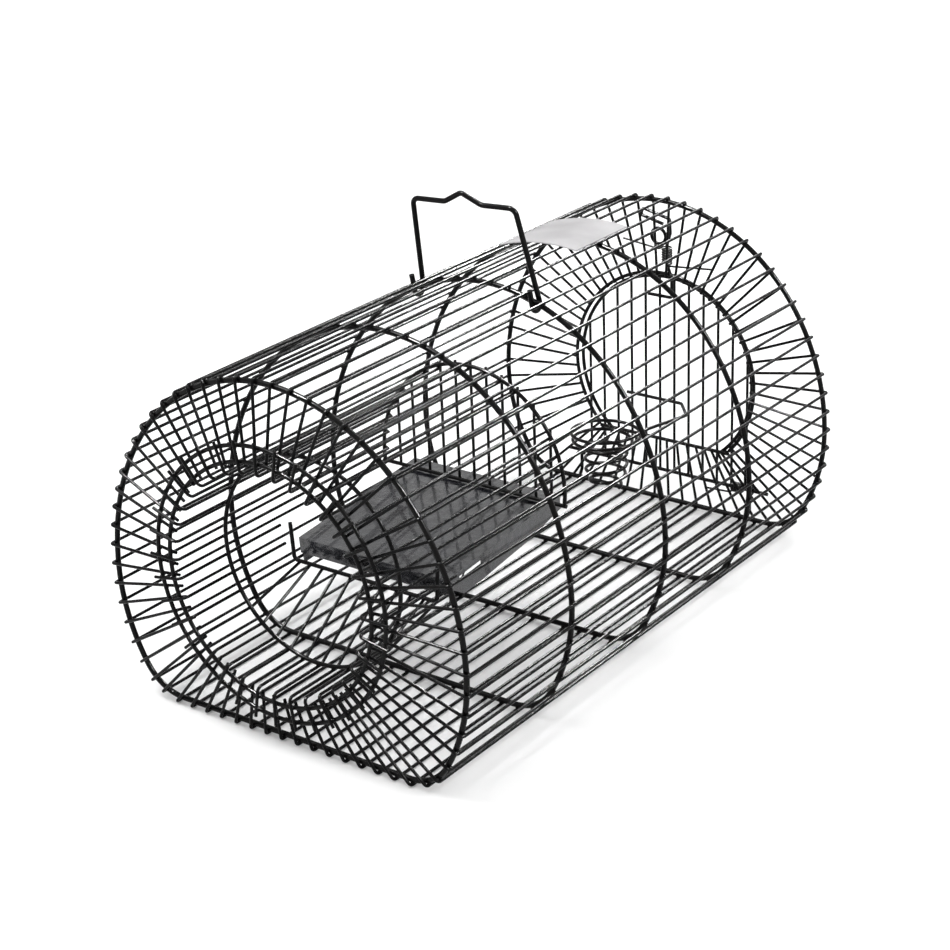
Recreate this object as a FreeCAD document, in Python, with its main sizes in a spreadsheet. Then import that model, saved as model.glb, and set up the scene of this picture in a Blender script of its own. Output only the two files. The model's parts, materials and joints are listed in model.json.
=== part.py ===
import FreeCAD, Part
import Sketcher
import math
import os

# Live catch trap: a D-shaped wire cage with an entry funnel, a tilting platform,
# a carrying handle and a latched rear door.
# Millimetres, +Z up. The entry faces -Y, the rear door faces +Y, X runs across.

V = FreeCAD.Vector
os.makedirs("parts", exist_ok=True)
doc = FreeCAD.newDocument("live_catch_trap")

# ---------------------------------------------------------------- driving sizes
SIZES = [
    ("hoop_d", 3.2, "thickness of the five cage hoops"),
    ("wire_d", 1.8, "thickness of the cage wires"),
    ("ring_d", 2.4, "thickness of collar, gate and opening rings"),
    ("rod_d", 2.4, "thickness of pivot rods"),
    ("handle_d", 3.2, "thickness of the carrying handle"),
    ("latch_d", 2.2, "thickness of the latch wire and eyelets"),
    ("bait_d", 2.2, "thickness of the bait holder wire"),
    ("coil_d", 1.3, "thickness of the latch and door spring wires"),
    ("spring_d", 1.0, "thickness of the platform spring wire"),
    ("weld_gap", 0.05, "air left between two wires that are welded together"),
    ("mid_y", -0.45, "middle hoop position along the length"),
    ("bay_len", 95.0, "distance between neighbouring hoops"),
    ("cage_half_w", 122.0, "half width of a hoop at its widest"),
    ("arch_z", 74.05, "height of the widest point above the ground"),
    ("arch_rise", 135.7, "rise of the hoop arch above its widest point"),
    ("side_r", 110.0, "radius of a hoop side below its widest point"),
    ("corner_r", 30.0, "radius of a hoop bottom corner"),
    ("wire_off", 2.65, "cage wire centre outside the hoop centre line"),
    ("floor_pitch", 11.2, "spacing of the floor wires"),
    ("arch_pitch", 12.3, "spacing of the side and top wires"),
    ("floor_wires", 9, "floor wires on each side of the middle"),
    ("arch_wires", 23, "side and top wires on each side of the middle"),
    ("bend_r", 2.2, "bend radius where a cage wire turns over an end hoop"),
    ("bend_tail", 0.3, "straight length kept past a bend"),
    ("ramp_bend", 5.0, "bend radius where a funnel wire rises into the ramp"),
    ("bar_stop", 186.5, "straight run of a cage wire, half length"),
    ("collar_z", 98.55, "height of the funnel axis"),
    ("collar_outer_r", 79.0, "outer collar ring radius"),
    ("collar_inner_r", 70.0, "inner collar ring radius"),
    ("collar_outer_y", -199.8, "outer collar ring position"),
    ("collar_inner_y", -200.25, "inner collar ring position"),
    ("face_end_r", 67.4, "radius where the front face wires end"),
    ("face_end_y", -198.2, "front face wire position at the collar"),
    ("funnel_r", 63.5, "radius of the funnel wire circle"),
    ("funnel_y", -202.4, "front of the funnel wires at the collar"),
    ("funnel_bend", 3.0, "bend radius of the funnel wires at the collar"),
    ("stub_r", 82.5, "radius where the funnel wires end on the collar"),
    ("funnel_step", 10.0, "angle between neighbouring funnel wires"),
    ("funnel_ring_y", -165.0, "position of the ring inside the funnel"),
    ("ramp_y", -162.0, "where the ramp wires leave the funnel"),
    ("saddle_y", -121.5, "position of the ramp top bar"),
    ("saddle_z", 69.8, "height of the ramp top bar"),
    ("saddle_half", 51.0, "half length of the ramp top bar"),
    ("saddle_top", 92.5, "height of the upturned ends of the ramp top bar"),
    ("pivot_y", -106.0, "position of the platform pivot rod"),
    ("pivot_half", 57.5, "half length of the platform pivot rod"),
    ("gate_y", -18.0, "position of the gate arch"),
    ("gate_sill_z", 90.9, "height of the gate bottom bar"),
    ("gate_pitch", 11.0, "spacing of the gate bars"),
    ("gate_bars_side", 5, "gate bars on each side of the middle one"),
    ("door_z", 91.55, "height of the rear opening centre"),
    ("opening_r", 68.0, "radius of the rear opening ring"),
    ("opening_y", 194.7, "position of the rear opening ring"),
    ("opening_sill_z", 43.55, "height of the bar below the rear opening"),
    ("rear_face_y", 192.55, "rear face wire position at the opening"),
    ("fan_ratio", 0.7, "how far the wires below the opening draw together"),
    ("fan_edge", 173.0, "half width at which the fan would close up"),
    ("door_ring_r", 65.0, "radius of the door ring"),
    ("door_ring_y", 197.4, "position of the door ring and hinge rod"),
    ("door_ring_low", 42.0, "height where the door ring ends"),
    ("door_pitch", 11.0, "spacing of the door wires"),
    ("door_side", 6, "door wires on each side of the middle"),
    ("hinge_z", 20.05, "height of the door hinge rod"),
    ("hinge_half", 78.0, "half length of the door hinge rod"),
    ("hinge_clear", 0.06, "radial clearance in the hinge eyelets"),
    ("hinge_eye_x", 66.0, "hinge eyelet position across the door"),
    ("handle_right", 36.5, "right handle foot across the cage"),
    ("handle_left", -47.5, "left handle foot across the cage"),
    ("handle_half", 36.0, "half width of the handle grip"),
    ("handle_rise", 55.5, "height of the grip above the hoop"),
    ("handle_hump", 6.6, "height of the peak in the grip"),
    ("hump_half", 13.0, "half width of the peak in the grip"),
    ("handle_lean", 9.6, "forward lean of the handle at rest, degrees"),
    ("hook_gap", 3.9, "distance of the handle hook from the hoop it goes round"),
    ("hook_drop", 4.7, "how far the hook reaches below the hoop centre"),
    ("hook_up", 9.5, "how far the free end of the hook stands above it"),
    ("plate_half_w", 53.0, "half width of the platform"),
    ("plate_len", 110.0, "length of the platform"),
    ("plate_t", 1.0, "sheet thickness of the platform"),
    ("plate_slope", 5.2, "slope of the platform at rest, degrees"),
    ("lip_drop", 10.0, "depth of the folded front edge"),
    ("flange_front", 15.5, "flange depth near the front"),
    ("flange_rear", 9.0, "flange depth at the rear"),
    ("ear_drop", 17.0, "depth of the pivot ears"),
    ("ear_len", 12.0, "length of the pivot ears"),
    ("pivot_in", 7.5, "pivot distance behind the front edge"),
    ("pivot_drop", 12.2, "pivot depth below the platform surface"),
    ("pivot_clear", 0.08, "radial clearance of the pivot rod"),
    ("slot_len", 21.0, "length of the flange slot"),
    ("slot_h", 2.8, "height of the flange slot"),
    ("label_x0", -38.0, "left edge of the label plate"),
    ("label_x1", 18.0, "right edge of the label plate"),
    ("label_y0", 68.0, "front edge of the label plate"),
    ("label_len", 56.0, "length of the label plate"),
    ("label_t", 0.6, "sheet thickness of the label plate"),
    ("bait_x", -2.0, "bait holder axis across the cage"),
    ("bait_y", 128.0, "bait holder axis along the cage"),
    ("bait_z", 34.5, "height of the bottom turn of the bait holder"),
    ("bait_r_low", 9.5, "radius of the bottom turn"),
    ("bait_r_mid", 13.4, "radius of the middle turns"),
    ("bait_r_top", 22.3, "radius of the wide top turns"),
    ("bait_pitch_low", 7.4, "rise of a lower turn"),
    ("bait_pitch_top", 4.4, "rise of a top turn"),
    ("bait_swell", 4.2, "turn at which the coil opens out"),
    ("bait_turns", 6.0, "turns of the bait holder"),
    ("latch_y", 201.95, "latch hook position behind the door"),
    ("latch_up_y", 199.3, "latch stem position above the door"),
    ("latch_hook_z", 141.0, "height of the latch hook"),
    ("coil_r", 3.0, "radius of the latch spring coil"),
    ("coil_z", 165.0, "bottom of the latch spring coil"),
    ("coil_h", 10.8, "length of the latch spring coil"),
    ("coil_turns", 6.5, "turns of the latch spring"),
    ("finger_r", 5.2, "radius of the finger ring on the latch"),
    ("door_coil_r", 2.9, "radius of the door spring coil"),
    ("door_coil_x", 51.5, "start of the door spring coil"),
    ("door_coil_len", 7.0, "length of the door spring coil"),
    ("pivot_coil_r", 2.2, "radius of the platform spring coil"),
    ("pivot_coil_x", 44.0, "start of the platform spring coil"),
    ("pivot_coil_len", 5.0, "length of the platform spring coil"),
]
sheet = doc.addObject("Spreadsheet::Sheet", "sizes")
for row, (alias, value, note) in enumerate(SIZES, start=1):
    sheet.set("A%d" % row, note)
    sheet.set("B%d" % row, str(value))
    sheet.setAlias("B%d" % row, alias)
doc.recompute()


def val(alias):
    return float(sheet.get(alias))


nodes = {}


def keep(label, obj):
    """Name a finished sub-part."""
    obj.Label = label
    nodes[label] = obj
    return obj


def bind(obj, prop, expression):
    obj.setExpression(prop, expression)


# ---------------------------------------------------------------- shape helpers
def along(direction):
    """Rotation that turns +Z to a direction."""
    return FreeCAD.Rotation(V(0, 0, 1), direction)


def bar(name, start, end, size):
    """Straight round bar between two points."""
    axis = end - start
    obj = doc.addObject("Part::Cylinder", name)
    bind(obj, "Radius", "sizes.%s / 2" % size)
    obj.Height = axis.Length
    obj.Placement = FreeCAD.Placement(start, along(axis))
    return obj


def ring(name, centre, radius_expr, size, start=0.0, sweep=360.0):
    """Ring standing in an XZ plane; angles run from +X towards +Z."""
    obj = doc.addObject("Part::Torus", name)
    bind(obj, "Radius1", radius_expr)
    bind(obj, "Radius2", "sizes.%s / 2" % size)
    obj.Angle3 = sweep
    turn = FreeCAD.Rotation(V(0, 1, 0), -start) * FreeCAD.Rotation(V(1, 0, 0), 90)
    obj.Placement = FreeCAD.Placement(centre, turn)
    return obj


def rounded_path(points, radii):
    """Polyline whose inner corners are rounded, each with its own radius."""
    edges = []
    last = points[0]
    for i in range(1, len(points) - 1):
        corner = points[i]
        radius = radii[i - 1]
        back = (points[i - 1] - corner).normalize()
        ahead = (points[i + 1] - corner).normalize()
        half = back.getAngle(ahead) / 2
        cut = radius / math.tan(half)
        first = corner + back * cut
        second = corner + ahead * cut
        middle_dir = (back + ahead).normalize()
        centre = corner + middle_dir * (radius / math.sin(half))
        middle = centre - middle_dir * radius
        if (first - last).Length > 1e-6:
            edges.append(Part.LineSegment(last, first).toShape())
        edges.append(Part.Arc(first, middle, second).toShape())
        last = second
    if (points[-1] - last).Length > 1e-6:
        edges.append(Part.LineSegment(last, points[-1]).toShape())
    return edges


def wire_sweep(name, edges, size, frenet=False):
    """Round wire swept along a chain of edges."""
    spine = doc.addObject("Part::Feature", name + "_path")
    spine.Shape = Part.Wire(edges)
    return sweep_on(name, spine, len(edges), edges[0], size, frenet)


def sweep_on(name, spine, count, first_edge, size, frenet):
    start = first_edge.valueAt(first_edge.FirstParameter)
    tangent = first_edge.tangentAt(first_edge.FirstParameter)
    section = doc.addObject("Part::Circle", name + "_section")
    bind(section, "Radius", "sizes.%s / 2" % size)
    section.Placement = FreeCAD.Placement(start, along(tangent))
    obj = doc.addObject("Part::Sweep", name)
    obj.Sections = [section]
    obj.Spine = (spine, ["Edge%d" % (i + 1) for i in range(count)])
    obj.Solid = True
    obj.Frenet = frenet
    return obj


def bent(name, points, size, radius):
    """Wire bent at each inner point; radius is one number or a list."""
    radii = radius if isinstance(radius, list) else [radius] * (len(points) - 2)
    return wire_sweep(name, rounded_path(points, radii), size)


def beyond_bend(start, corner, end, radius):
    """Point a little past the bend at the corner, on its way to the end."""
    back = (start - corner).normalize()
    ahead = (end - corner).normalize()
    cut = radius / math.tan(back.getAngle(ahead) / 2)
    return corner + ahead * (cut + val("bend_tail"))


def group(label, parts):
    """Several like pieces kept as separate solids of one sub-part."""
    obj = doc.addObject("Part::Compound", label)
    obj.Links = parts
    return keep(label, obj)


# ---------------------------------------------------------------- cage section
MID = val("mid_y")
HALF = 2 * val("bay_len")
ARCH_Z = val("arch_z")
HALF_W = val("cage_half_w")
FLOOR_Z = val("wire_off") + val("wire_d") / 2
side_centre = V(HALF_W - val("side_r"), 0, ARCH_Z)
corner_rise = ARCH_Z - FLOOR_Z - val("corner_r")
corner_run = math.sqrt((val("side_r") - val("corner_r")) ** 2 - corner_rise ** 2)
corner_centre = V(side_centre.x + corner_run, 0, FLOOR_Z + val("corner_r"))
join_dir = (corner_centre - side_centre).normalize()
join_angle = math.atan2(join_dir.z, join_dir.x)


def section_half(steps=400):
    """Points and outward directions of the right half, floor middle to crest."""
    pts = []
    for i in range(steps):
        x = corner_centre.x * i / steps
        pts.append((V(x, 0, FLOOR_Z), V(0, 0, -1)))
    for i in range(steps):
        a = -math.pi / 2 + (join_angle + math.pi / 2) * i / steps
        out = V(math.cos(a), 0, math.sin(a))
        pts.append((corner_centre + out * val("corner_r"), out))
    for i in range(steps):
        a = join_angle * (1 - i / steps)
        out = V(math.cos(a), 0, math.sin(a))
        pts.append((side_centre + out * val("side_r"), out))
    for i in range(steps + 1):
        a = math.pi / 2 * i / steps
        rise = val("arch_rise")
        point = V(HALF_W * math.cos(a), 0, ARCH_Z + rise * math.sin(a))
        out = V(math.cos(a) / HALF_W, 0, math.sin(a) / rise).normalize()
        pts.append((point, out))
    return pts


def wire_spots():
    """Centres of the cage wires on the right half, as floor and arch lists."""
    run = [p + n * val("wire_off") for p, n in section_half()]
    length = [0.0]
    for a, b in zip(run, run[1:]):
        length.append(length[-1] + (b - a).Length)
    wanted_floor = [val("floor_pitch") * (k + 0.5) for k in range(int(val("floor_wires")))]
    wanted_arch = [length[-1] - val("arch_pitch") * (k + 0.5)
                   for k in range(int(val("arch_wires")))]

    def spot(distance):
        i = 1
        while length[i] < distance:
            i += 1
        part = (distance - length[i - 1]) / (length[i] - length[i - 1])
        return run[i - 1] + (run[i] - run[i - 1]) * part

    return [spot(d) for d in wanted_floor], [spot(d) for d in wanted_arch]


def mirrored(point):
    return V(-point.x, point.y, point.z)


floor_spots, arch_spots = wire_spots()


def hoop_sketch(name, y):
    """D-shaped centre line of a hoop."""
    sk = doc.addObject("Sketcher::SketchObject", name)
    sk.Placement = FreeCAD.Placement(V(0, y, 0), FreeCAD.Rotation(V(1, 0, 0), 90))
    up = V(0, 0, 1)

    def arc(cx, cy, r, a0, a1):
        return Part.ArcOfCircle(Part.Circle(V(cx, cy, 0), up, r), a0, a1)

    x0 = corner_centre.x
    z0 = corner_centre.z
    sk.addGeometry(Part.LineSegment(V(0, FLOOR_Z, 0), V(x0, FLOOR_Z, 0)), False)
    sk.addGeometry(arc(x0, z0, val("corner_r"), -math.pi / 2, join_angle), False)
    sk.addGeometry(arc(side_centre.x, ARCH_Z, val("side_r"), join_angle, 0), False)
    oval = Part.Ellipse(V(0, ARCH_Z + val("arch_rise"), 0), V(HALF_W, ARCH_Z, 0), V(0, ARCH_Z, 0))
    sk.addGeometry(Part.ArcOfEllipse(oval, -math.pi / 2, math.pi / 2), False)
    sk.addGeometry(arc(-side_centre.x, ARCH_Z, val("side_r"), math.pi, math.pi - join_angle), False)
    sk.addGeometry(arc(-x0, z0, val("corner_r"), math.pi - join_angle, 1.5 * math.pi), False)
    sk.addGeometry(Part.LineSegment(V(-x0, FLOOR_Z, 0), V(0, FLOOR_Z, 0)), False)
    return sk


for index, label in enumerate(["hoop_front", "hoop_second", "hoop_middle",
                               "hoop_fourth", "hoop_rear"]):
    y = MID + val("bay_len") * (index - 2)
    line = hoop_sketch(label + "_line", y)
    doc.recompute()
    ordered = Part.__sortEdges__(line.Shape.Edges)
    keep(label, wire_sweep(label, ordered, "hoop_d"))

# straight runs of the cage wires
arch_split = [p for p in arch_spots if p.z > ARCH_Z + 60]
side_split = [p for p in arch_spots if p.z <= ARCH_Z + 60]
runs = {
    "wires_top": arch_split + [mirrored(p) for p in arch_split],
    "wires_right": side_split,
    "wires_left": [mirrored(p) for p in side_split],
    "wires_floor": floor_spots + [mirrored(p) for p in floor_spots],
}
for label, spots in runs.items():
    bars = []
    for k, p in enumerate(spots):
        front = V(p.x, MID - val("bar_stop"), p.z)
        rear = V(p.x, MID + val("bar_stop"), p.z)
        bars.append(bar("%s_%d" % (label, k + 1), front, rear, "wire_d"))
    group(label, bars)

all_spots = floor_spots + arch_spots
all_spots = all_spots + [mirrored(p) for p in all_spots]
axis_point = V(0, 0, val("collar_z"))

# front face: each wire turns over the front hoop and runs in to the collar
pieces = []
bends = []
for k, p in enumerate(all_spots):
    inward = (axis_point - p).normalize()
    corner = V(p.x, MID - HALF - val("wire_off"), p.z)
    end = axis_point - inward * val("face_end_r")
    end.y = val("face_end_y")
    start = V(p.x, MID - val("bar_stop"), p.z)
    joint = beyond_bend(start, corner, end, val("bend_r"))
    bends.append(bent("front_bend_%d" % (k + 1), [start, corner, joint], "wire_d", val("bend_r")))
    pieces.append(bar("front_face_%d" % (k + 1), joint, end, "wire_d"))
group("front_bends", bends)
group("front_face_wires", pieces)

# rear face: in to the opening ring, or up to the bar below it
door_centre = V(0, 0, val("door_z"))
sill_drop = val("door_z") - val("opening_sill_z")
sill_half = math.sqrt(val("opening_r") ** 2 - sill_drop ** 2)
pieces = []
bends = []
for k, p in enumerate(all_spots):
    inward = (door_centre - p).normalize()
    corner = V(p.x, MID + HALF + val("wire_off"), p.z)
    if p.z < door_centre.z and abs(inward.x / inward.z) < sill_half / sill_drop:
        draw = val("fan_ratio") * (1 - (p.x / val("fan_edge")) ** 2)
        end = V(p.x * draw, 0, val("opening_sill_z") + 1.6)
    else:
        end = door_centre - inward * (val("opening_r") - 1.6)
    end.y = val("rear_face_y")
    start = V(p.x, MID + val("bar_stop"), p.z)
    joint = beyond_bend(start, corner, end, val("bend_r"))
    bends.append(bent("rear_bend_%d" % (k + 1), [start, corner, joint], "wire_d", val("bend_r")))
    pieces.append(bar("rear_face_%d" % (k + 1), joint, end, "wire_d"))
group("rear_bends", bends)
group("rear_face_wires", pieces)

# ---------------------------------------------------------------- entry funnel
keep("collar_ring_outer", ring("collar_ring_outer", V(0, val("collar_outer_y"), val("collar_z")),
                               "sizes.collar_outer_r", "ring_d"))
keep("collar_ring_inner", ring("collar_ring_inner", V(0, val("collar_inner_y"), val("collar_z")),
                               "sizes.collar_inner_r", "ring_d"))
keep("funnel_ring", ring("funnel_ring", V(0, val("funnel_ring_y"), val("collar_z")),
                         "sizes.funnel_r - (sizes.wire_d + sizes.ring_d) / 2 - sizes.weld_gap",
                         "ring_d"))

saddle = V(0, val("saddle_y"), val("saddle_z"))
touch = (val("wire_d") + val("ring_d")) / 2 + val("weld_gap")


def ramp_end(start):
    """End of a ramp wire that passes just under the ramp top bar."""
    dy = saddle.y - start.y
    dz = saddle.z - start.z
    reach = math.hypot(dy, dz)
    slope = math.atan2(dz, dy) - math.asin(touch / reach)
    run = math.sqrt(reach ** 2 - touch ** 2) + 1.5
    return V(start.x, start.y + run * math.cos(slope), start.z + run * math.sin(slope))


stubs = []
straight = []
ramp = []
ramp_bends = []
count = int(round(360 / val("funnel_step")))
for k in range(count):
    angle = k * val("funnel_step")
    lean = min(angle, 360 - angle)
    out = V(math.sin(math.radians(angle)), 0, math.cos(math.radians(angle)))
    on_circle = axis_point + out * val("funnel_r")
    top = axis_point + out * val("stub_r")
    top.y = val("funnel_y")
    corner = V(on_circle.x, val("funnel_y"), on_circle.z)
    turn_end = V(on_circle.x, val("funnel_y") + 6.0, on_circle.z)
    stubs.append(bent("collar_bend_%d" % (k + 1), [top, corner, turn_end], "wire_d",
                      val("funnel_bend")))
    if lean <= 90:
        stop = val("gate_y") + touch - val("wire_d") / 2 - 0.1
    elif lean < 120:
        stop = val("saddle_y") + 2.6
    elif lean == 120:
        stop = val("pivot_y") + 3.0
    else:
        stop = val("ramp_y")
    finish = V(on_circle.x, stop, on_circle.z)
    if lean > 120:
        top_end = ramp_end(finish)
        before = beyond_bend(top_end, finish, turn_end, val("ramp_bend"))
        after = beyond_bend(turn_end, finish, top_end, val("ramp_bend"))
        ramp_bends.append(bent("ramp_bend_%d" % (k + 1), [before, finish, after], "wire_d",
                               val("ramp_bend")))
        ramp.append(bar("ramp_wire_%d" % (k + 1), after, top_end, "wire_d"))
        finish = before
    straight.append(bar("funnel_wire_%d" % (k + 1), turn_end, finish, "wire_d"))
group("collar_bends", stubs)
group("funnel_wires", straight)
group("ramp_bends", ramp_bends)
group("ramp_wires", ramp)

# ramp top bar: a bar whose ends are turned up inside the side wires of the funnel
half_path = [V(val("saddle_half"), saddle.y, saddle.z),
             V(val("saddle_half") + 1.5, saddle.y, val("saddle_top"))]
path = [mirrored(p) for p in reversed(half_path)] + half_path
keep("ramp_top_bar", bent("ramp_top_bar", path, "ring_d", 3.0))

# gate arch closing the funnel above the platform
gate_r = "sizes.funnel_r + (sizes.wire_d + sizes.ring_d) / 2 + sizes.weld_gap"
gate_radius = val("funnel_r") + touch
sill_rise = val("gate_sill_z") + val("ring_d") / 2 + 0.1 - val("collar_z")
gate_low = math.degrees(math.asin(sill_rise / gate_radius)) + 0.3
keep("gate_arch", ring("gate_arch", V(0, val("gate_y"), val("collar_z")), gate_r, "ring_d",
                       gate_low, 180 - 2 * gate_low))
sill_x = gate_radius + 1.0
keep("gate_sill", bar("gate_sill", V(-sill_x, val("gate_y"), val("gate_sill_z")),
                      V(sill_x, val("gate_y"), val("gate_sill_z")), "ring_d"))
bars = []
for k in range(-int(val("gate_bars_side")), int(val("gate_bars_side")) + 1):
    x = k * val("gate_pitch")
    y = val("gate_y") + touch
    top_z = val("collar_z") + math.sqrt(gate_radius ** 2 - x ** 2) + 1.5
    bars.append(bar("gate_bar_%d" % (k + 6), V(x, y, val("gate_sill_z")), V(x, y, top_z), "wire_d"))
group("gate_bars", bars)

# ---------------------------------------------------------------- platform
side_wire_z = val("collar_z") + val("funnel_r") * math.cos(math.radians(120))
pivot = V(0, val("pivot_y"), side_wire_z + (val("wire_d") + val("rod_d")) / 2 + val("weld_gap"))
keep("platform_pivot_rod", bar("platform_pivot_rod", V(-val("pivot_half"), pivot.y, pivot.z),
                               V(val("pivot_half"), pivot.y, pivot.z), "rod_d"))

body = doc.addObject("PartDesign::Body", "platform")


def origin_plane(owner, role):
    for feature in owner.Origin.OriginFeatures:
        if feature.Role == role:
            return feature
    raise ValueError(role)


def body_sketch(owner, name, role, offset):
    sk = owner.newObject("Sketcher::SketchObject", name)
    sk.AttachmentSupport = [(origin_plane(owner, role), "")]
    sk.MapMode = "FlatFace"
    sk.AttachmentOffset = FreeCAD.Placement(offset, FreeCAD.Rotation())
    return sk


def outline(sk, points):
    """Closed outline with its corners tied together."""
    first = sk.GeometryCount
    total = len(points)
    for i in range(total):
        sk.addGeometry(Part.LineSegment(points[i], points[(i + 1) % total]), False)
    for i in range(total):
        sk.addConstraint(Sketcher.Constraint("Coincident", first + i, 2,
                                             first + (i + 1) % total, 1))


def pad(owner, name, sk, length_expr, midplane=False, reverse=False):
    feature = owner.newObject("PartDesign::Pad", name)
    feature.Profile = sk
    bind(feature, "Length", length_expr)
    feature.Midplane = midplane
    feature.Reversed = reverse
    return feature


half_w = val("plate_half_w")
length = val("plate_len")
sheet_t = val("plate_t")
# local frame: X across, Y back from the front edge, Z up from the top surface
sk = body_sketch(body, "plate_outline", "YZ_Plane", V(0, 0, 0))
outline(sk, [V(0, 0, 0), V(length, 0, 0), V(length, -sheet_t, 0), V(sheet_t, -sheet_t, 0),
             V(sheet_t, -val("lip_drop"), 0), V(0, -val("lip_drop"), 0)])
pad(body, "plate_fold", sk, "2 * sizes.plate_half_w", midplane=True)
flange = [V(0, 0, 0), V(length, 0, 0), V(length, -val("flange_rear"), 0),
          V(length * 0.72, -val("flange_front") + 2.0, 0), V(30, -val("flange_front"), 0),
          V(val("ear_len"), -val("flange_front"), 0), V(val("ear_len"), -val("ear_drop"), 0),
          V(1.5, -val("ear_drop"), 0), V(1.5, -val("lip_drop"), 0), V(0, -val("lip_drop"), 0)]
for side, offset in (("right", half_w - sheet_t), ("left", -half_w)):
    sk = body_sketch(body, "flange_%s_outline" % side, "YZ_Plane", V(0, 0, offset))
    outline(sk, flange)
    pad(body, "flange_%s" % side, sk, "sizes.plate_t")
hole = body_sketch(body, "pivot_holes", "YZ_Plane", V(0, 0, 0))
centre = V(val("pivot_in"), -val("pivot_drop"), 0)
hole.addGeometry(Part.Circle(centre, V(0, 0, 1), val("rod_d") / 2 + val("pivot_clear")), False)
cut = body.newObject("PartDesign::Pocket", "pivot_bore")
cut.Profile = hole
cut.Type = "ThroughAll"
cut.Midplane = True
slot = body_sketch(body, "flange_slots", "YZ_Plane", V(0, 0, 0))
slot_y = val("ear_len") - 1.0
slot_z = -3.0
outline(slot, [V(slot_y, slot_z, 0), V(slot_y + val("slot_len"), slot_z, 0),
               V(slot_y + val("slot_len"), slot_z - val("slot_h"), 0),
               V(slot_y, slot_z - val("slot_h"), 0)])
cut = body.newObject("PartDesign::Pocket", "slot_cut")
cut.Profile = slot
cut.Type = "ThroughAll"
cut.Midplane = True
doc.recompute()
tilt = FreeCAD.Rotation(V(1, 0, 0), val("plate_slope"))
body.Placement = FreeCAD.Placement(pivot - tilt.multVec(V(0, centre.x, centre.y)), tilt)
keep("platform", body)


def platform_top(y):
    """Height of the platform surface at rest."""
    front = body.Placement.Base
    return front.z + (y - front.y) * math.tan(math.radians(val("plate_slope")))


# ---------------------------------------------------------------- rear opening
sill_top = -sill_drop + val("ring_d") / 2 + 0.1
low_angle = math.degrees(math.asin(sill_top / val("opening_r"))) + 1.1
keep("opening_ring", ring("opening_ring", V(0, val("opening_y"), val("door_z")),
                          "sizes.opening_r", "ring_d", low_angle, 180 - 2 * low_angle))
keep("opening_sill", bar("opening_sill", V(-sill_half - 1.5, val("opening_y"), val("opening_sill_z")),
                         V(sill_half + 1.5, val("opening_y"), val("opening_sill_z")), "ring_d"))

# door: ring, upright wires and the hinge rod they are welded to
door_low = math.degrees(math.asin((val("door_ring_low") - val("door_z")) / val("door_ring_r")))
keep("door_ring", ring("door_ring", V(0, val("door_ring_y"), val("door_z")), "sizes.door_ring_r",
                       "ring_d", door_low, 180 - 2 * door_low))
uprights = []
door_wire_y = val("door_ring_y") + touch
for k in range(int(val("door_side"))):
    for sign in (-1, 1):
        x = sign * val("door_pitch") * (k + 0.5)
        top_z = val("door_z") + math.sqrt(val("door_ring_r") ** 2 - x ** 2) + 1.6
        foot = V(x, door_wire_y, val("hinge_z") - 1.6)
        uprights.append(bar("door_wire_%d" % (2 * k + (sign + 3) // 2), foot,
                            V(x, door_wire_y, top_z), "wire_d"))
group("door_wires", uprights)
hinge = V(0, val("door_ring_y"), val("hinge_z"))
keep("door_hinge_rod", bar("door_hinge_rod", V(-val("hinge_half"), hinge.y, hinge.z),
                           V(val("hinge_half"), hinge.y, hinge.z), "rod_d"))

# eyelets that carry the hinge rod: a stem from the rear hoop, curled over the rod
eyes = []
eye_r = val("rod_d") / 2 + val("hinge_clear") + val("latch_d") / 2
hoop_touch = (val("hoop_d") + val("latch_d")) / 2 + val("weld_gap")
for sign in (-1, 1):
    x = sign * val("hinge_eye_x")
    foot = V(x, MID + HALF + hoop_touch, FLOOR_Z)
    knee = V(x, hinge.y - eye_r, FLOOR_Z + 4)
    side = V(x, hinge.y - eye_r, hinge.z)
    edges = rounded_path([foot, knee, side], [1.5])
    over = V(x, hinge.y + eye_r * math.cos(math.radians(45)), hinge.z + eye_r * math.sin(math.radians(45)))
    under = V(x, hinge.y, hinge.z - eye_r)
    edges.append(Part.Arc(side, over, under).toShape())
    eyes.append(wire_sweep("hinge_eye_%d" % (sign + 2), edges, "latch_d"))
group("hinge_eyelets", eyes)

# ---------------------------------------------------------------- handle
def on_hoop(x):
    """Point on the centre line of the middle hoop's arch."""
    return V(x, MID, ARCH_Z + val("arch_rise") * math.sqrt(1 - (x / HALF_W) ** 2))


# its feet are bent round the middle hoop as open hooks; local X runs from foot to foot
foot_right = on_hoop(val("handle_right"))
foot_left = on_hoop(val("handle_left"))
handle_pivot = (foot_right + foot_left) / 2
across = foot_right - foot_left
foot_half = across.Length / 2
pose = FreeCAD.Rotation(V(1, 0, 0), across) * FreeCAD.Rotation(V(1, 0, 0), val("handle_lean"))
gap = val("hook_gap")
half_pts = [V(foot_half, -gap, val("hook_up")), V(foot_half, -gap, -val("hook_drop")),
            V(foot_half, gap, -val("hook_drop")), V(val("handle_half"), gap, val("handle_rise")),
            V(val("hump_half"), gap, val("handle_rise"))]
half_bends = [gap - 0.01, gap - 0.01, 4.5, 7.0]
peak = V(0, gap, val("handle_rise") + val("handle_hump"))
handle_pts = half_pts + [peak] + [mirrored(p) for p in reversed(half_pts)]
handle_bends = half_bends + [4.0] + half_bends[::-1]
keep("handle", bent("handle", [handle_pivot + pose.multVec(p) for p in handle_pts], "handle_d",
                    handle_bends))

# ---------------------------------------------------------------- label plate
crest_r = HALF_W ** 2 / val("arch_rise")
crest_z = ARCH_Z + val("arch_rise") - crest_r
label_r = crest_r + val("wire_off") + val("wire_d") / 2 + val("weld_gap")
label = doc.addObject("PartDesign::Body", "label_plate")
sk = body_sketch(label, "label_outline", "XZ_Plane", V(0, 0, 0))


def rim(radius, x):
    return V(x, crest_z + math.sqrt(radius ** 2 - x ** 2), 0)


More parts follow.
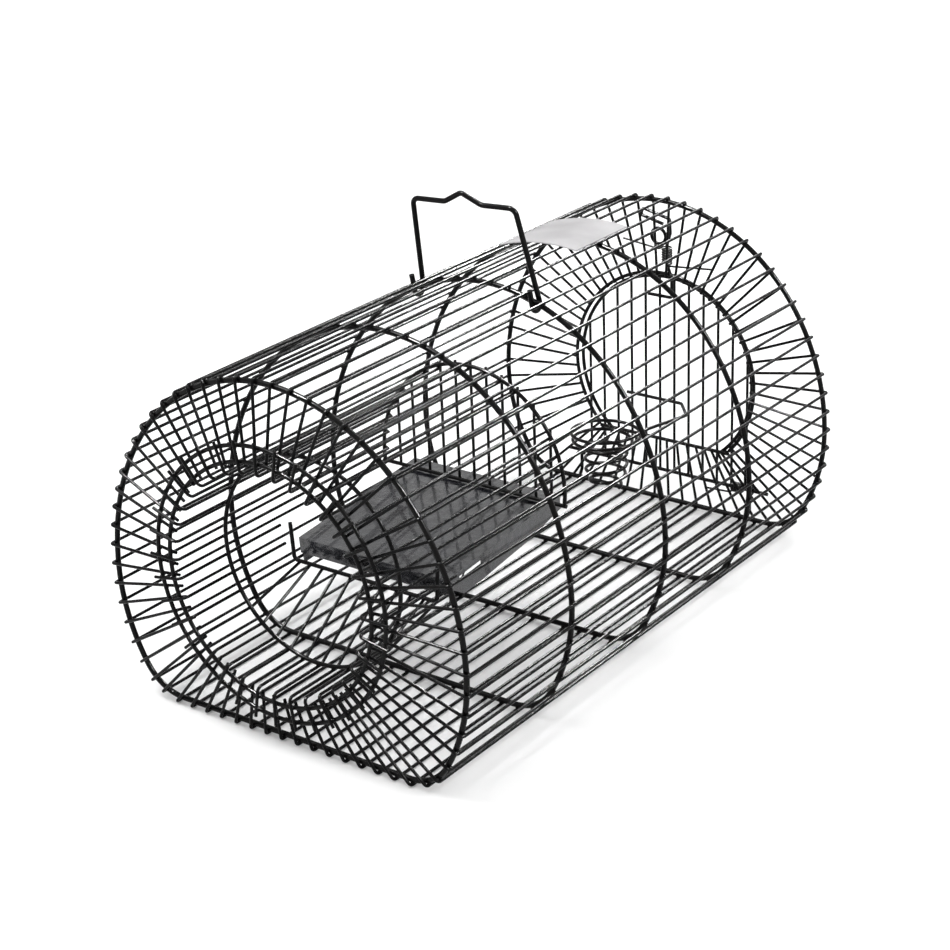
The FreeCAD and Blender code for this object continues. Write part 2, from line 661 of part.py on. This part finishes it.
outer_r = label_r + val("label_t")
inner = [rim(label_r, val("label_x0")), rim(label_r, -10.0), rim(label_r, val("label_x1"))]
outer = [rim(outer_r, val("label_x0")), rim(outer_r, -10.0), rim(outer_r, val("label_x1"))]
sk.addGeometry(Part.Arc(*inner), False)
sk.addGeometry(Part.Arc(*outer), False)
sk.addGeometry(Part.LineSegment(inner[0], outer[0]), False)
sk.addGeometry(Part.LineSegment(inner[2], outer[2]), False)
pad(label, "label_sheet", sk, "sizes.label_len", reverse=True)
doc.recompute()
label.Placement = FreeCAD.Placement(V(0, val("label_y0"), 0), FreeCAD.Rotation())
keep("label_plate", label)

# ---------------------------------------------------------------- coils
def coil(name, centre, axis_turn, radius, height, turns):
    """Helix line; axis_turn turns the helix from +Z to its own axis."""
    line = doc.addObject("Part::Helix", name + "_line")
    bind(line, "Radius", radius)
    bind(line, "Height", height)
    bind(line, "Pitch", "%s / %s" % (height, turns))
    line.Placement = FreeCAD.Placement(centre, axis_turn)
    doc.recompute()
    return line


def coil_wire(name, line, size):
    edges = line.Shape.Edges
    return sweep_on(name, line, len(edges), edges[0], size, True)


def coil_end(line):
    edge = line.Shape.Edges[-1]
    return edge.valueAt(edge.LastParameter)


def coil_start(line):
    edge = line.Shape.Edges[0]
    return edge.valueAt(edge.FirstParameter)


# ---------------------------------------------------------------- bait holder
def bait_radius(turn):
    """Narrow at the bottom, even in the middle, opening out to the wide top turns."""
    narrow = (val("bait_r_mid") - val("bait_r_low")) * math.exp(-turn * turn)
    wide = (1 + math.tanh((turn - val("bait_swell")) / 0.4)) / 2
    return val("bait_r_mid") - narrow + (val("bait_r_top") - val("bait_r_mid")) * wide


def bait_height(turn):
    past_swell = 0.4 * math.log(1 + math.exp((turn - val("bait_swell")) / 0.4))
    return val("bait_pitch_low") * turn - (val("bait_pitch_low") - val("bait_pitch_top")) * past_swell


per_turn = 24
cone_pts = []
for i in range(int(val("bait_turns") * per_turn) + 1):
    turn = i / per_turn
    around = 2 * math.pi * turn
    cone_pts.append(V(val("bait_x") + bait_radius(turn) * math.cos(around),
                      val("bait_y") + bait_radius(turn) * math.sin(around),
                      val("bait_z") + bait_height(turn)))
cone = Part.BSplineCurve()
cone.interpolate(cone_pts)
keep("bait_spiral", wire_sweep("bait_spiral", [cone.toShape()], "bait_d", True))
tip = cone_pts[-1]
door_side_y = door_wire_y - (val("wire_d") + val("bait_d")) / 2 - val("weld_gap")
arm = [tip, V(tip.x + 1.0, tip.y + 14.0, tip.z + 0.3), V(tip.x + 7.5, tip.y + 50.0, tip.z - 1.5),
       V(tip.x - 8.0, door_side_y, tip.z - 3.0), V(val("bait_x") - 28.0, door_side_y, tip.z - 3.0)]
keep("bait_arm", bent("bait_arm", arm, "bait_d", 4.0))

# ---------------------------------------------------------------- door latch
up_y = val("latch_up_y")
hook_z = val("latch_hook_z")
coil_z = val("coil_z")
latch = [V(-16, val("latch_y"), hook_z), V(2, val("latch_y"), hook_z),
         V(2, val("latch_y"), hook_z + 13), V(0, up_y, coil_z - 0.5),
         V(0, up_y, coil_z + val("coil_h") + 1), V(2.5, up_y, coil_z + 20.5),
         V(2.0, up_y, coil_z + 30), V(-18, up_y, coil_z + 34.5),
         V(-20, up_y, coil_z + 30), V(-3, up_y, coil_z + 26)]
keep("latch_wire", bent("latch_wire", latch, "latch_d", 1.6))
finger_x = -val("finger_r") - val("latch_d") / 2
keep("latch_ring", ring("latch_ring", V(finger_x, up_y, coil_z + 17.5), "sizes.finger_r",
                        "latch_d"))

# latch spring: coil round the stem, its legs on the rear face wires
leg_y = val("rear_face_y") + (val("wire_d") + val("coil_d")) / 2 + 0.1
line = coil("latch_coil", V(0, up_y, val("coil_z")), FreeCAD.Rotation(), "sizes.coil_r",
            "sizes.coil_h", "sizes.coil_turns")
low = coil_start(line)
high = coil_end(line)
low_leg = [low, V(low.x, leg_y, low.z), V(36, leg_y, low.z + 3)]
high_leg = [high, V(high.x, leg_y, high.z), V(-30, leg_y, high.z + 3)]
group("latch_spring", [coil_wire("latch_coil", line, "coil_d"),
                       bent("latch_leg_low", low_leg, "coil_d", 1.2),
                       bent("latch_leg_high", high_leg, "coil_d", 1.2)])

# door spring: coil round the hinge rod, one leg on the face wires, one on the door
to_x = FreeCAD.Rotation(V(0, 1, 0), 90)
line = coil("door_coil", V(val("door_coil_x"), hinge.y, hinge.z), to_x, "sizes.door_coil_r",
            "sizes.door_coil_len", "6")
low = coil_start(line)
high = coil_end(line)
press_y = door_wire_y + (val("wire_d") + val("coil_d")) / 2 + 0.3
cage_leg = [low, V(low.x, leg_y, low.z), V(33, leg_y, low.z - 1)]
door_leg = [high, V(high.x, press_y, high.z), V(high.x, press_y, high.z + 15),
            V(high.x + 4.5, press_y, high.z + 17)]
group("door_spring", [coil_wire("door_coil", line, "coil_d"),
                      bent("door_leg_cage", cage_leg, "coil_d", 1.2),
                      bent("door_leg_door", door_leg, "coil_d", 1.2)])

# platform spring: coil round the pivot rod, one leg below the ramp top bar, one below the plate
line = coil("platform_coil", V(val("pivot_coil_x"), pivot.y, pivot.z), to_x,
            "sizes.pivot_coil_r", "sizes.pivot_coil_len", "4")
low = coil_start(line)
high = coil_end(line)
under_bar = saddle.z - (val("ring_d") + val("spring_d")) / 2 - 0.1
under_plate = platform_top(high.y + 16) - val("plate_t") - val("spring_d") / 2 - 0.3
fixed_leg = [low, V(low.x, low.y - 5, low.z), V(low.x, saddle.y - 1.0, under_bar)]
plate_leg = [high, V(high.x, high.y + 5, high.z), V(high.x, high.y + 16, under_plate)]
group("platform_spring", [coil_wire("platform_coil", line, "spring_d"),
                          bent("platform_leg_fixed", fixed_leg, "spring_d", 1.2),
                          bent("platform_leg_plate", plate_leg, "spring_d", 1.2)])

# ---------------------------------------------------------------- checks and export
doc.recompute()
for feature in doc.Objects:
    bad = [word for word in feature.State if word in ("Invalid", "Error")]
    if bad:
        raise RuntimeError("%s is %s" % (feature.Label, bad))
for label, obj in nodes.items():
    shape = obj.Shape
    if shape.isNull() or not shape.isValid():
        raise RuntimeError("%s has no valid shape" % label)
    shape.exportStep("parts/%s.step" % label)
print("%d sub-parts written" % len(nodes))
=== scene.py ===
import bmesh
import bpy
import json
import math
import random
from mathutils import Matrix, Vector, noise
from mathutils.bvhtree import BVHTree


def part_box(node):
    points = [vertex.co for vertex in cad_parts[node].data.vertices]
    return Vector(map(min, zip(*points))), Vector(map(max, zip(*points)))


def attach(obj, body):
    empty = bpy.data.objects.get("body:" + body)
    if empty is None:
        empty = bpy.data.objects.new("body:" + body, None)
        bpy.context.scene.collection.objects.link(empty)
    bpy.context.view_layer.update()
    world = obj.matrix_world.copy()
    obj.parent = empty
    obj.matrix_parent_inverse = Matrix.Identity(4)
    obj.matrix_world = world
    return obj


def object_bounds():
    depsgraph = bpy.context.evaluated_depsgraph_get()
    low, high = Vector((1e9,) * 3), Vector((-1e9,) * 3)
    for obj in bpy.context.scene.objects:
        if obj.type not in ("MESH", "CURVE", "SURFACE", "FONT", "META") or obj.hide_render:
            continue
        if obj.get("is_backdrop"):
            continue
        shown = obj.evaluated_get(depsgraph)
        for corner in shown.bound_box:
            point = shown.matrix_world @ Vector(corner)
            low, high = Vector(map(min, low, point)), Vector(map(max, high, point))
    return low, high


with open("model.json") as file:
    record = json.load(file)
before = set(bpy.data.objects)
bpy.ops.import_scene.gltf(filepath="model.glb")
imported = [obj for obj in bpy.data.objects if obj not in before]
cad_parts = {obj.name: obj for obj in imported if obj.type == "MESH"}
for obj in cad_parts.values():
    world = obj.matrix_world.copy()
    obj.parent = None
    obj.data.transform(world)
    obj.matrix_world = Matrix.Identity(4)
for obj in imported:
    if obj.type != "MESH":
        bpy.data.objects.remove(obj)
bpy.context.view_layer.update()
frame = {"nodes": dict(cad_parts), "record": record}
nodes = frame["nodes"]
MM = 0.001


# ------------------------------------------------------------------ materials
def ramp(tree, source, low, high, start=0.3, end=0.7):
    node = tree.nodes.new("ShaderNodeMapRange")
    node.inputs["From Min"].default_value = start
    node.inputs["From Max"].default_value = end
    node.inputs["To Min"].default_value = low
    node.inputs["To Max"].default_value = high
    tree.links.new(source, node.inputs["Value"])
    return node.outputs["Result"]


def grain(tree, coords, scale, detail=3.0, rough=0.55):
    node = tree.nodes.new("ShaderNodeTexNoise")
    node.inputs["Scale"].default_value = scale
    node.inputs["Detail"].default_value = detail
    node.inputs["Roughness"].default_value = rough
    tree.links.new(coords, node.inputs["Vector"])
    return node.outputs["Fac"]


def colours(tree, source, dark, light, start, end):
    node = tree.nodes.new("ShaderNodeValToRGB")
    node.color_ramp.elements[0].position = start
    node.color_ramp.elements[0].color = (*dark, 1)
    node.color_ramp.elements[1].position = end
    node.color_ramp.elements[1].color = (*light, 1)
    tree.links.new(source, node.inputs["Fac"])
    return node.outputs["Color"]


def coated(name, dark, light, rough, coat, coat_rough, relief, spread, shine, metal=0.0):
    """Painted metal: colour drift, uneven gloss, orange peel and slow runs in the coat; on the
    sheet the lighter drift patches are painted reflection.
    """
    mat = bpy.data.materials.new(name)
    mat.use_nodes = True
    tree = mat.node_tree
    tree.nodes.clear()
    out = tree.nodes.new("ShaderNodeOutputMaterial")
    skin = tree.nodes.new("ShaderNodeBsdfPrincipled")
    tree.links.new(skin.outputs["BSDF"], out.inputs["Surface"])
    coords = tree.nodes.new("ShaderNodeTexCoord").outputs["Object"]
    drift = grain(tree, coords, spread)
    tree.links.new(colours(tree, drift, dark, light, 0.35, 0.75), skin.inputs["Base Color"])
    gloss = grain(tree, coords, spread * 4.0, 4.0)
    tree.links.new(ramp(tree, gloss, rough[0], rough[1]), skin.inputs["Roughness"])
    peel = grain(tree, coords, 1400.0, 2.0)
    runs = grain(tree, coords, 170.0, 2.0)
    fine = tree.nodes.new("ShaderNodeBump")
    fine.inputs["Strength"].default_value = 0.25
    fine.inputs["Distance"].default_value = relief * 0.25
    tree.links.new(peel, fine.inputs["Height"])
    slow = tree.nodes.new("ShaderNodeBump")
    slow.inputs["Strength"].default_value = 0.5
    slow.inputs["Distance"].default_value = relief
    tree.links.new(runs, slow.inputs["Height"])
    tree.links.new(fine.outputs["Normal"], slow.inputs["Normal"])
    tree.links.new(slow.outputs["Normal"], skin.inputs["Normal"])
    skin.inputs["Metallic"].default_value = metal
    skin.inputs["IOR"].default_value = 1.5
    skin.inputs["Specular IOR Level"].default_value = shine
    skin.inputs["Coat Weight"].default_value = coat
    skin.inputs["Coat Roughness"].default_value = coat_rough
    return mat


PAINTS = {
    "hoop_paint": coated("hoop_paint", (0.0012, 0.0012, 0.0014), (0.004, 0.0036, 0.0034),
                         (0.14, 0.3), 0.1, 0.06, 0.00012, 22.0, 0.04),
    "wire_paint": coated("wire_paint", (0.0012, 0.0014, 0.0018), (0.0045, 0.004, 0.0036),
                         (0.16, 0.34), 0.08, 0.07, 0.00008, 30.0, 0.04),
    # sheet colour drift is partly random tone and partly painted reflection: its lighter patches
    # stand in for mottled, blurry reflections on the plate
    "sheet_paint": coated("sheet_paint", (0.002, 0.002, 0.003), (0.022, 0.023, 0.028),
                          (0.05, 0.24), 0.5, 0.03, 0.0012, 40.0, 0.5),
    "label_blank": coated("label_blank", (0.3, 0.295, 0.3), (0.44, 0.43, 0.44), (0.45, 0.6),
                          0.0, 0.3, 0.0002, 25.0, 0.06),
    "spring_wire": coated("spring_wire", (0.003, 0.003, 0.0035), (0.01, 0.009, 0.008), (0.2, 0.4),
                          0.12, 0.1, 0.00006, 60.0, 0.1),
}
slots = {s["node"]: s["material_slot"] for s in frame["record"]["subparts"]}
for name, obj in nodes.items():
    obj.data.materials.clear()
    obj.data.materials.append(PAINTS[slots[name]])
    for face in obj.data.polygons:
        face.material_index = 0


# ------------------------------------------------------------------ weld spots
def pieces_of(node):
    """The separate wires of a node, each as the list of its corner points."""
    mesh = nodes[node].data
    keys = {}
    parent = []

    def root(i):
        while parent[i] != i:
            parent[i] = parent[parent[i]]
            i = parent[i]
        return i

    index = []
    for vert in mesh.vertices:
        key = tuple(round(c, 6) for c in vert.co)
        if key not in keys:
            keys[key] = len(parent)
            parent.append(len(parent))
        index.append(keys[key])
    for face in mesh.polygons:
        first = root(index[face.vertices[0]])
        for v in face.vertices[1:]:
            parent[root(index[v])] = first
    found = {}
    for key, i in keys.items():
        found.setdefault(root(i), []).append(Vector(key))
    return list(found.values())


def middle(points):
    low = Vector([min(p[k] for p in points) for k in range(3)])
    high = Vector([max(p[k] for p in points) for k in range(3)])
    return (low + high) / 2


def surface(node):
    return BVHTree.FromObject(nodes[node], bpy.context.evaluated_depsgraph_get())


HOOP_BEAD = 1.25 * MM
RING_BEAD = 1.1 * MM
GATE_BEAD = 1.4 * MM
DOOR_BEAD = 1.2 * MM
RING_WIRE_R = 1.2 * MM
FUNNEL_WIRES = 36
FUNNEL_STEP = 360 // FUNNEL_WIRES

rng = random.Random(7)
blobs = {"cage": [], "rear_door": []}


def weld(body, at, along_a, along_b, size):
    """A flattened bead where two wires cross."""
    blobs[body].append((at, along_a.normalized(), along_b.normalized(), size))


def bead_mesh(name, body, paint):
    shape = bmesh.new()
    for at, a, b, size in blobs[body]:
        up = a.cross(b).normalized()
        side = up.cross(a)
        turn = Matrix((a, side, up)).transposed().to_4x4()
        grow = [size * rng.uniform(0.85, 1.2) for _ in range(2)] + [size * rng.uniform(0.6, 0.8)]
        place = Matrix.Translation(at) @ turn @ Matrix.Diagonal((*grow, 1))
        made = bmesh.ops.create_icosphere(shape, subdivisions=2, radius=1.0, matrix=place)
        for vert in made["verts"]:
            push = noise.noise(vert.co * 900.0) * 0.12 * size
            vert.co += (vert.co - at).normalized() * push
    mesh = bpy.data.meshes.new(name)
    shape.to_mesh(mesh)
    shape.free()
    for face in mesh.polygons:
        face.use_smooth = True
    mesh.materials.append(PAINTS[paint])
    obj = bpy.data.objects.new(name, mesh)
    bpy.context.scene.collection.objects.link(obj)
    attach(obj, body)
    return obj


X, Y, Z = Vector((1, 0, 0)), Vector((0, 1, 0)), Vector((0, 0, 1))
hoops = ["hoop_front", "hoop_second", "hoop_middle", "hoop_fourth", "hoop_rear"]
spots = [middle(p) for node in ("wires_top", "wires_right", "wires_left", "wires_floor")
         for p in pieces_of(node)]
for hoop in hoops:
    low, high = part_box(hoop)
    y = (low.y + high.y) / 2
    tree = surface(hoop)
    for spot in spots:
        centre = Vector((spot.x, y, spot.z))
        near, _, _, _ = tree.find_nearest(centre)
        out = centre - near
        tangent = out.cross(Y)
        weld("cage", near + out * 0.1, Y, tangent, HOOP_BEAD)


def spoke(degrees):
    """Direction across the trap, turned from straight up towards +X."""
    turn = math.radians(degrees)
    return Vector((math.sin(turn), 0, math.cos(turn)))


def ring_facts(node):
    """Centre and centre-line radius of a ring standing across the trap."""
    low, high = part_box(node)
    thick = high.y - low.y
    radius = (high.x - low.x - thick) / 2
    return (low.y + high.y) / 2, high.z - thick / 2 - radius, radius, thick


for node in ("collar_ring_outer", "collar_ring_inner"):
    y, z, radius, thick = ring_facts(node)
    axis = Vector((0, y, z))
    for spot in spots:
        out = Vector((spot.x, 0, spot.z - z)).normalized()
        weld("cage", axis + out * radius + Y * thick * 0.5, out, out.cross(Y), RING_BEAD)
    for k in range(FUNNEL_WIRES):
        out = spoke(FUNNEL_STEP * k)
        weld("cage", axis + out * radius - Y * thick * 0.5, out, out.cross(Y), RING_BEAD)

y, z, radius, thick = ring_facts("funnel_ring")
for k in range(FUNNEL_WIRES):
    out = spoke(FUNNEL_STEP * k)
    weld("cage", Vector((0, y, z)) + out * (radius + thick / 2), Y, out.cross(Y), RING_BEAD)

low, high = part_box("gate_arch")
gate_y = (low.y + high.y) / 2
gate_r = (high.x - low.x) / 2 - RING_WIRE_R
gate_centre = Vector((0, gate_y + 0.6 * MM, z))
for k in range(-9, 10):
    out = spoke(FUNNEL_STEP * k)
    weld("cage", gate_centre + out * (gate_r - 1.0 * MM), Y, out.cross(Y), GATE_BEAD)

low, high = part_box("opening_ring")
open_r = (high.x - low.x) / 2 - RING_WIRE_R
open_z = high.z - RING_WIRE_R - open_r
for spot in spots:
    out = Vector((spot.x, 0, spot.z - open_z)).normalized()
    if out.z > -0.68:
        at = Vector((0, low.y, open_z)) + out * open_r
        weld("cage", at, out, out.cross(Y), RING_BEAD)

low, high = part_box("door_ring")
door_r = (high.x - low.x) / 2 - RING_WIRE_R
door_z = high.z - RING_WIRE_R - door_r
rod_low, rod_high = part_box("door_hinge_rod")
rod_z = (rod_low.z + rod_high.z) / 2
for piece in pieces_of("door_wires"):
    x = middle(piece).x
    top = door_z + math.sqrt(max(door_r ** 2 - x ** 2, 0))
    weld("rear_door", Vector((x, high.y, top)), Z, X, DOOR_BEAD)
    weld("rear_door", Vector((x, high.y, rod_z)), Z, X, DOOR_BEAD)

bead_mesh("weld_beads_cage", "cage", "wire_paint")
bead_mesh("weld_beads_door", "rear_door", "wire_paint")


# ------------------------------------------------------------------ floor and light
def floor_paint():
    mat = bpy.data.materials.new("pale_floor")
    mat.use_nodes = True
    tree = mat.node_tree
    skin = tree.nodes["Principled BSDF"]
    coords = tree.nodes.new("ShaderNodeTexCoord").outputs["Object"]
    drift = grain(tree, coords, 2.0)
    tone = colours(tree, drift, (0.93, 0.93, 0.93), (0.95, 0.95, 0.95), 0.3, 0.7)
    tree.links.new(tone, skin.inputs["Base Color"])
    skin.inputs["Roughness"].default_value = 0.9
    skin.inputs["Specular IOR Level"].default_value = 0.0
    return mat


mesh = bpy.data.meshes.new("floor")
mesh.from_pydata([(-8, -8, 0), (8, -8, 0), (8, 8, 0), (-8, 8, 0)], [], [(0, 1, 2, 3)])
mesh.materials.append(floor_paint())
floor = bpy.data.objects.new("floor", mesh)
bpy.context.scene.collection.objects.link(floor)
floor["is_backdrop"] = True


def soft_light(name, at, aim, size, power, glint_only=False):
    data = bpy.data.lights.new(name, "AREA")
    data.shape = "RECTANGLE"
    data.size, data.size_y = size
    data.energy = power
    lamp = bpy.data.objects.new(name, data)
    lamp.location = at
    lamp.rotation_mode = "QUATERNION"
    lamp.rotation_quaternion = (Vector(aim) - Vector(at)).to_track_quat("-Z", "Y")
    lamp.visible_diffuse = not glint_only
    bpy.context.scene.collection.objects.link(lamp)
    return lamp


soft_light("key", (-0.7, -0.5, 1.7), (0, 0, 0.1), (0.7, 0.7), 13)
soft_light("fill", (1.5, 0.5, 1.2), (0, 0, 0.1), (0.5, 1.0), 6)
soft_light("back", (-0.3, 1.7, 1.3), (0, 0, 0.1), (1.2, 0.5), 8)
# strips hidden from diffuse surfaces: they make glints in the paint and no shadow on the floor
soft_light("glint_top", (-0.5, -0.6, 1.7), (0, 0, 0.1), (0.12, 0.4), 190, True)
soft_light("glint_right", (1.4, 0.2, 1.3), (0, 0, 0.1), (0.12, 0.5), 90, True)
soft_light("glint_back", (-0.2, 1.6, 1.5), (0, 0, 0.1), (0.5, 0.12), 120, True)

world = bpy.data.worlds.new("studio")
bpy.context.scene.world = world
world.use_nodes = True
world.node_tree.nodes["Background"].inputs["Color"].default_value = (1, 1, 1, 1)
world.node_tree.nodes["Background"].inputs["Strength"].default_value = 1.12

# ------------------------------------------------------------------ camera
azimuth, elevation, roll = math.radians(37.06), math.radians(23.28), math.radians(-2.17)
back = Vector((math.sin(azimuth) * math.cos(elevation), -math.cos(azimuth) * math.cos(elevation),
               math.sin(elevation)))
right = Vector((math.cos(azimuth), math.sin(azimuth), 0))
up = back.cross(right)
side = math.cos(roll) * right + math.sin(roll) * up
top = -math.sin(roll) * right + math.cos(roll) * up
camera = bpy.data.objects.new("camera", bpy.data.cameras.new("camera"))
camera.data.lens = 83.73
camera.data.sensor_width = 36.0
camera.data.clip_start, camera.data.clip_end = 0.05, 40
camera.matrix_world = Matrix.Translation((0.7202, -0.96905, 0.60885)) @ Matrix(
    (side, top, back)).transposed().to_4x4()
bpy.context.scene.collection.objects.link(camera)
bpy.context.scene.camera = camera
bpy.context.scene.view_settings.view_transform = "Standard"

low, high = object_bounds()
